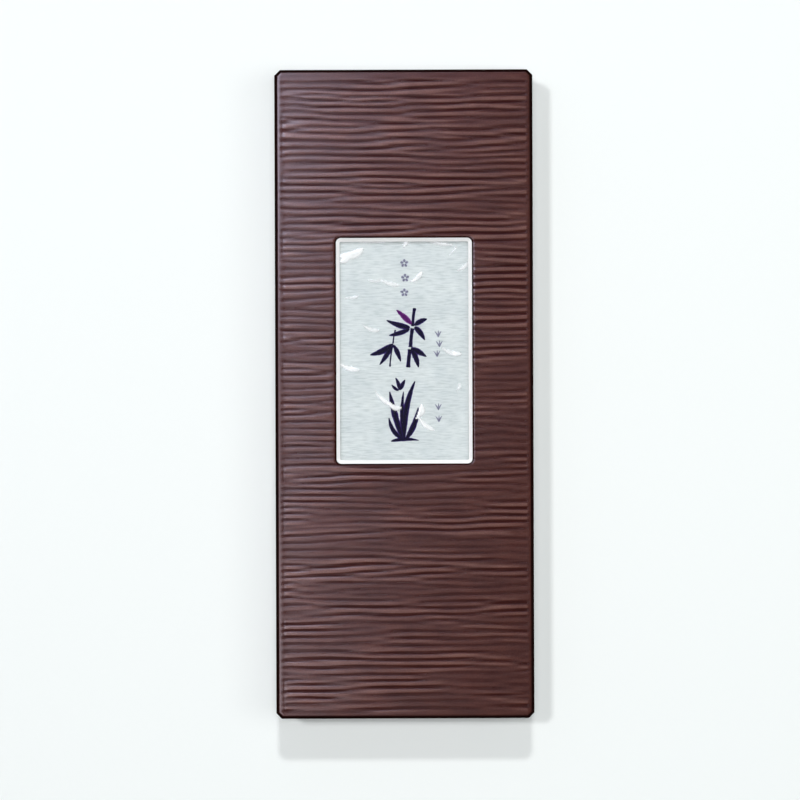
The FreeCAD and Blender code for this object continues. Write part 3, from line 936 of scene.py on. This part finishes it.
def mix_colours(tree, kind, factor, first, second):
    """Two colours mixed."""
    node = add_node(tree, "ShaderNodeMix", data_type="RGBA", blend_type=kind)
    feed(tree, node.inputs["Factor"], factor)
    feed(tree, node.inputs[6], first)
    feed(tree, node.inputs[7], second)
    return node.outputs[2]


def shaded(tree, colour, value, stops):
    """A colour multiplied by the ramp along a value."""
    return mix_colours(tree, "MULTIPLY", 1.0, colour, ramp(tree, value, stops))


def combined(tree, operation, first, second):
    """Two values combined by an operation, kept from 0 to 1."""
    node = add_node(tree, "ShaderNodeMath", operation=operation, use_clamp=True)
    tree.links.new(first, node.inputs[0])
    tree.links.new(second, node.inputs[1])
    return node.outputs[0]


def bump(tree, shader, height, distance, strength):
    """Fine relief from a height, distance in millimetres."""
    node = add_node(tree, "ShaderNodeBump")
    paint(tree, node, distance=distance * MM, strength=strength, height=height)
    paint(tree, shader, normal=node.outputs["Normal"])


def attribute(tree, name):
    """A number stored at the mesh's points."""
    return add_node(tree, "ShaderNodeAttribute", attribute_name=name).outputs["Fac"]


def scaled(tree, value, source, target):
    """A value mapped from one range to another."""
    node = add_node(tree, "ShaderNodeMapRange")
    for name, number in zip(("From Min", "From Max", "To Min", "To Max"), (*source, *target)):
        node.inputs[name].default_value = number
    tree.links.new(value, node.inputs["Value"])
    return node.outputs["Result"]


def embossed_paper():
    """Dark maroon paper, smoother on its ridges and dull where it turns over, with painted light and shade
    on its relief.
    """
    material, tree, shader = new_material("embossed_paper")
    height = scaled(tree, attribute(tree, "relief"), (-1, 1), (0, 1))
    turned = attribute(tree, "turned")
    fibres = object_noise(tree, 0.35, 6.0)
    # Darker in the valleys and lighter on the ridges and lip: painted shade and painted highlight of the
    # relief
    pigment_and_painted_light = (
        (0.0, (0.0245, 0.0035, 0.0022)),
        (0.45, (0.0410, 0.0098, 0.0060)),
        (0.75, (0.0620, 0.0178, 0.0116)),
        (0.93, (0.110, 0.0450, 0.0330)),
    )
    patches = ((0.3, (0.80, 0.70, 0.73)), (0.7, (1.14, 1.15, 1.14)))
    mottle = ((0.3, (0.86, 0.84, 0.86)), (0.7, (1.12, 1.14, 1.14)))
    colour = shaded(tree, ramp(tree, height, pigment_and_painted_light), object_noise(tree, 1.3, 4.0, (5, 1, 1)), patches)
    colour = shaded(tree, colour, object_noise(tree, 9.0), mottle)
    colour = shaded(tree, colour, fibres, greys(0.84, 1.15))
    # Paper turned over the edges or rolled into the window is multiplied darker: painted shade
    colour = mix_colours(tree, "MULTIPLY", turned, colour, (0.22, 0.30, 0.40))
    roughness = scaled(tree, height, (0.1, 0.8), (0.29, 0.245))
    roughness = combined(tree, "ADD", roughness, scaled(tree, turned, (0, 1), (0, 0.45)))
    gloss = scaled(tree, height, (0.1, 0.8), (0.10, 0.6))
    gloss = combined(tree, "SUBTRACT", gloss, scaled(tree, turned, (0, 1), (0, 0.5)))
    # The plain value stands in where the gloss can't vary
    paint(tree, shader, specular_ior_level=0.4)
    paint(tree, shader, base_color=colour, roughness=roughness, specular_ior_level=gloss)
    bump(tree, shader, fibres, 0.012, 0.6)
    return material


def plain_paper(name, colour, fibre, contrast, roughness=0.75):
    """Uncoated paper or board with fibres of a size in millimetres."""
    material, tree, shader = new_material(name)
    fine = object_noise(tree, fibre, 8.0)
    broad = object_noise(tree, fibre * 12, 3.0)
    dark, light = (tuple(c * (1 + sign * contrast) for c in colour) for sign in (-1, 1))
    colour = shaded(tree, ramp(tree, fine, ((0.3, dark), (0.7, light))), broad, greys(1 - contrast, 1.0))
    paint(tree, shader, base_color=colour, roughness=roughness)
    bump(tree, shader, fine, 0.02, 0.5)
    return material


def laid_paper():
    """Bluish white laid paper with faint long streaks across the band."""
    material, tree, shader = new_material("laid_paper")
    streaks = object_noise(tree, 0.38, 5.0, (7, 1, 4))
    tints = ((0.32, (0.417, 0.463, 0.463)), (0.5, (0.512, 0.555, 0.552)), (0.7, (0.57, 0.61, 0.603)))
    clouds = ((0.3, (0.89, 0.905, 0.915)), (0.7, (1.0, 1.0, 1.0)))
    colour = shaded(tree, ramp(tree, streaks, tints), object_noise(tree, 6.0, 3.0), clouds)
    paint(tree, shader, base_color=colour, roughness=0.7)
    bump(tree, shader, streaks, 0.03, 0.5)
    return material


def brush_ink():
    """Dark violet ink, paler at its edges, with one plum stroke, and grey small strokes."""
    material, tree, shader = new_material("brush_ink")
    edge, tone = attribute(tree, "edge"), attribute(tree, "tone")
    dark = ((0.4, (0.0015, 0.0005, 0.013)), (0.8, (0.011, 0.004, 0.052)), (1.0, (0.085, 0.05, 0.25)))
    plum = ((0.45, (0.060, 0.004, 0.080)), (0.85, (0.14, 0.03, 0.18)), (1.0, (0.36, 0.18, 0.42)))
    grey = ((0.3, (0.13, 0.13, 0.19)), (1.0, (0.40, 0.42, 0.50)))
    colour = ramp(tree, edge, dark)
    for number, stops in ((TONES["plum"], plum), (TONES["grey"], grey)):
        share = scaled(tree, tone, (number - 1, number), (0, 1))
        colour = mix_colours(tree, "MIX", share, colour, ramp(tree, edge, stops))
    colour = shaded(tree, colour, object_noise(tree, 0.5, 5.0), greys(0.8, 1.3, 0.35))
    paint(tree, shader, base_color=colour, roughness=0.8, specular_ior_level=0.05)
    return material


def crinkled_film():
    """Clear glossy film, painted white along its creases as their highlights."""
    material, tree, shader = new_material("clear_film")
    broken = scaled(tree, object_noise(tree, 2.2, 2.0), (0.35, 0.6), (0.7, 1))
    painted_crease_highlight = combined(tree, "MULTIPLY", attribute(tree, "white"), broken)
    gloss = add_node(tree, "ShaderNodeFresnel")
    paint(tree, gloss, ior=1.4)
    sheen = scaled(tree, gloss.outputs["Fac"], (0.03, 1), (0.004, 0.5))
    cover = combined(tree, "ADD", scaled(tree, painted_crease_highlight, (0, 1), (0, 0.75)), sheen)
    paint(tree, shader, base_color=(0.95, 0.97, 0.98), roughness=0.2)
    clear = add_node(tree, "ShaderNodeBsdfTransparent")
    mixed = add_node(tree, "ShaderNodeMixShader")
    for socket, value in zip(mixed.inputs, (cover, clear.outputs[0], shader.outputs[0])):
        feed(tree, socket, value)
    paint(tree, tree.nodes["Material Output"], surface=mixed.outputs[0])
    bump(tree, shader, object_noise(tree, 0.7, 4.0), 0.004, 0.4)
    return material


def stripes(tree, direction, pitch):
    """A wave from -1 to 1 across the object, along a direction. pitch is its length in millimetres."""
    along = add_node(tree, "ShaderNodeVectorMath", operation="DOT_PRODUCT")
    along.inputs[1].default_value = tuple(part * 2 * math.pi / (pitch * MM) for part in direction)
    tree.links.new(object_place(tree), along.inputs[0])
    wave = add_node(tree, "ShaderNodeMath", operation="SINE")
    tree.links.new(along.outputs["Value"], wave.inputs[0])
    return wave.outputs[0]


def satin():
    """Gold damask satin: a fine weave, and small lozenges where the threads lie the other way."""
    material, tree, shader = new_material("satin")
    first, second = (stripes(tree, direction, 5.0) for direction in ((1, 1, 1), (1, -1, 1)))
    figure = scaled(tree, combined(tree, "MULTIPLY", first, second), (0, 0.12), (0, 1))
    across, along = (object_noise(tree, 0.16, 2.0, stretch) for stretch in ((9, 1, 1), (1, 9, 1)))
    weave = combined(tree, "MAXIMUM", across, along)
    ground = ramp(tree, weave, ((0.4, (0.50, 0.33, 0.10)), (0.7, (0.72, 0.53, 0.22))))
    raised = ramp(tree, weave, ((0.4, (0.62, 0.45, 0.17)), (0.7, (0.86, 0.68, 0.34))))
    threads = mix_colours(tree, "MIX", figure, ground, raised)
    colour = shaded(tree, threads, object_noise(tree, 14.0, 2.0), greys(0.9, 1.05))
    roughness = scaled(tree, figure, (0, 1), (0.46, 0.28))
    paint(tree, shader, base_color=colour, roughness=roughness, specular_ior_level=0.8)
    paint(tree, shader, sheen_weight=0.15, sheen_roughness=0.4, sheen_tint=(1.0, 0.9, 0.68))
    bump(tree, shader, weave, 0.03, 0.6)
    return material


def foam():
    """Off-white foam with fine cells."""
    material, tree, shader = new_material("foam")
    cells = add_node(tree, "ShaderNodeTexVoronoi")
    paint(tree, cells, vector=object_place(tree), scale=1 / (0.5 * MM))
    depth = cells.outputs["Distance"]
    colour = ramp(tree, depth, ((0.1, (0.52, 0.50, 0.42)), (0.5, (0.78, 0.76, 0.68))))
    paint(tree, shader, base_color=colour, roughness=0.95)
    bump(tree, shader, depth, 0.15, 0.8)
    return material


def ink():
    """Hard black ink with a soft polish and fine marks of its wooden mould."""
    material, tree, shader = new_material("ink")
    dust = object_noise(tree, 3.0, 6.0)
    colour = ramp(tree, dust, ((0.35, (0.008, 0.008, 0.010)), (0.75, (0.026, 0.026, 0.030))))
    paint(tree, shader, base_color=colour, roughness=scaled(tree, dust, (0.3, 0.7), (0.26, 0.46)))
    bump(tree, shader, object_noise(tree, 0.5, 5.0, (1, 16, 1)), 0.04, 0.5)
    return material


def gilding():
    """Gold paint brushed into the mould's pattern, thin in places."""
    material, tree, shader = new_material("gilding")
    wear = object_noise(tree, 0.9, 6.0)
    gold = ((0.30, (0.22, 0.12, 0.035)), (0.42, (0.62, 0.41, 0.12)), (0.7, (0.86, 0.62, 0.24)))
    roughness = scaled(tree, wear, (0.3, 0.7), (0.55, 0.28))
    paint(tree, shader, base_color=ramp(tree, wear, gold), roughness=roughness, metallic=0.9)
    bump(tree, shader, wear, 0.02, 0.6)
    return material


# Build


def place_piece(piece, material, body, replaced=None):
    """Gives a mesh its material, its body and the CAD node it stands for."""
    piece.data.materials.append(material)
    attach(piece, body)
    if replaced:
        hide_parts(replaced)


place_piece(make_lid_paper(), embossed_paper(), "lid", "lid_cover_paper")
place_piece(make_film(), crinkled_film(), "parcel", "film_sleeve")
place_piece(make_strokes(), brush_ink(), "parcel")

cloth = make_satin()
place_piece(cloth, satin(), "bed", "bed_cloth")
bed_low, bed_high = node_box("bed_cloth")
wall = bed_high[2] - bed_low[2]
depth = bed_high[2] - RECESS_FLOOR
cloth_area = 4 * (bed_high[0] * bed_high[1] + (bed_high[0] + bed_high[1]) * wall)
cloth_area += 4 * (sum(RECESS_HALF) + NOTCH_REACH - RECESS_HALF[0]) * depth
pad = make_foam()
place_piece(pad, foam(), "bed", "bed_foam")

for material, names in (
    (plain_paper("white_core_board", (0.95, 0.95, 0.945), 0.5, 0.015), ("lid_board",)),
    (plain_paper("grey_board", (0.46, 0.45, 0.42), 0.5, 0.12), ("base_board", "bed_card")),
    (plain_paper("liner_paper", (0.74, 0.74, 0.71), 0.5, 0.04), ("lid_liner_paper", "base_liner_paper")),
    (plain_paper("base_paper", (0.52, 0.53, 0.52), 0.4, 0.08), ("base_cover_paper",)),
    (plain_paper("stay_paper", (0.50, 0.37, 0.24), 0.4, 0.10), ("lid_corner_stays", "base_corner_stays")),
    (plain_paper("bottom_paper", (0.07, 0.045, 0.045), 0.4, 0.15, 0.6), ("base_bottom_sheet",)),
    (laid_paper(), ("paper_band",)),
    (ink(), ("ink_stick",)),
    (gilding(), ("gilt_frame_front", "gilt_bamboo_front", "gilt_frame_back", "gilt_moon_back")),
):
    for name in names:
        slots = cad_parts[name].data.materials
        slots.clear()
        slots.append(material)


# Stage


def make_floor():
    """Plain pale table."""
    mesh = bpy.data.meshes.new("floor")
    corners = [(x * FLOOR_HALF, y * FLOOR_HALF, 0) for x, y in ((-1, -1), (1, -1), (1, 1), (-1, 1))]
    mesh.from_pydata(corners, [], [(0, 1, 2, 3)])
    floor = add_object("floor", mesh)
    material, tree, shader = new_material("table")
    paint(tree, shader, base_color=(0.84, 0.877, 0.87), roughness=0.7, specular_ior_level=0.2)
    mesh.materials.append(material)


def area_light(name, place, width, length, share, colour, mirrored, lights_table):
    """Light that faces straight down and lights the middle of the table to about that share of white."""
    light = bpy.data.lights.new(name, "AREA")
    distance = math.dist(place, (0, 0, 0))
    light.shape = "RECTANGLE"
    light.size = width
    light.size_y = length
    light.color = colour
    light.energy = share * 4 * math.pi * distance**4 / place[2] ** 2
    lamp = add_object(name, light)
    lamp.location = place
    lamp.visible_glossy = mirrored
    lamp.visible_diffuse = lights_table


def make_camera():
    """Camera straight above, framed as a square."""
    data = bpy.data.cameras.new("camera")
    camera = add_object("camera", data)
    _, lid_high = node_box("lid_cover_paper")
    data.sensor_width = 36.0
    data.lens = data.sensor_width * (CAMERA_HEIGHT - lid_high[2] * MM) / VIEW_WIDTH
    data.clip_end = 20.0
    camera.location = (*CAMERA_OFFSET, CAMERA_HEIGHT)
    camera.rotation_euler = (0, 0, math.radians(CAMERA_TURN))
    bpy.context.scene.camera = camera


make_floor()
make_camera()
world = bpy.data.worlds.new("world")
world.use_nodes = True
paint(world.node_tree, world.node_tree.nodes["Background"], color=(0.95, 0.99, 1.0), strength=0.10)
bpy.context.scene.world = world
bpy.context.scene.view_settings.view_transform = "Standard"
for settings in LIGHTS:
    area_light(*settings)
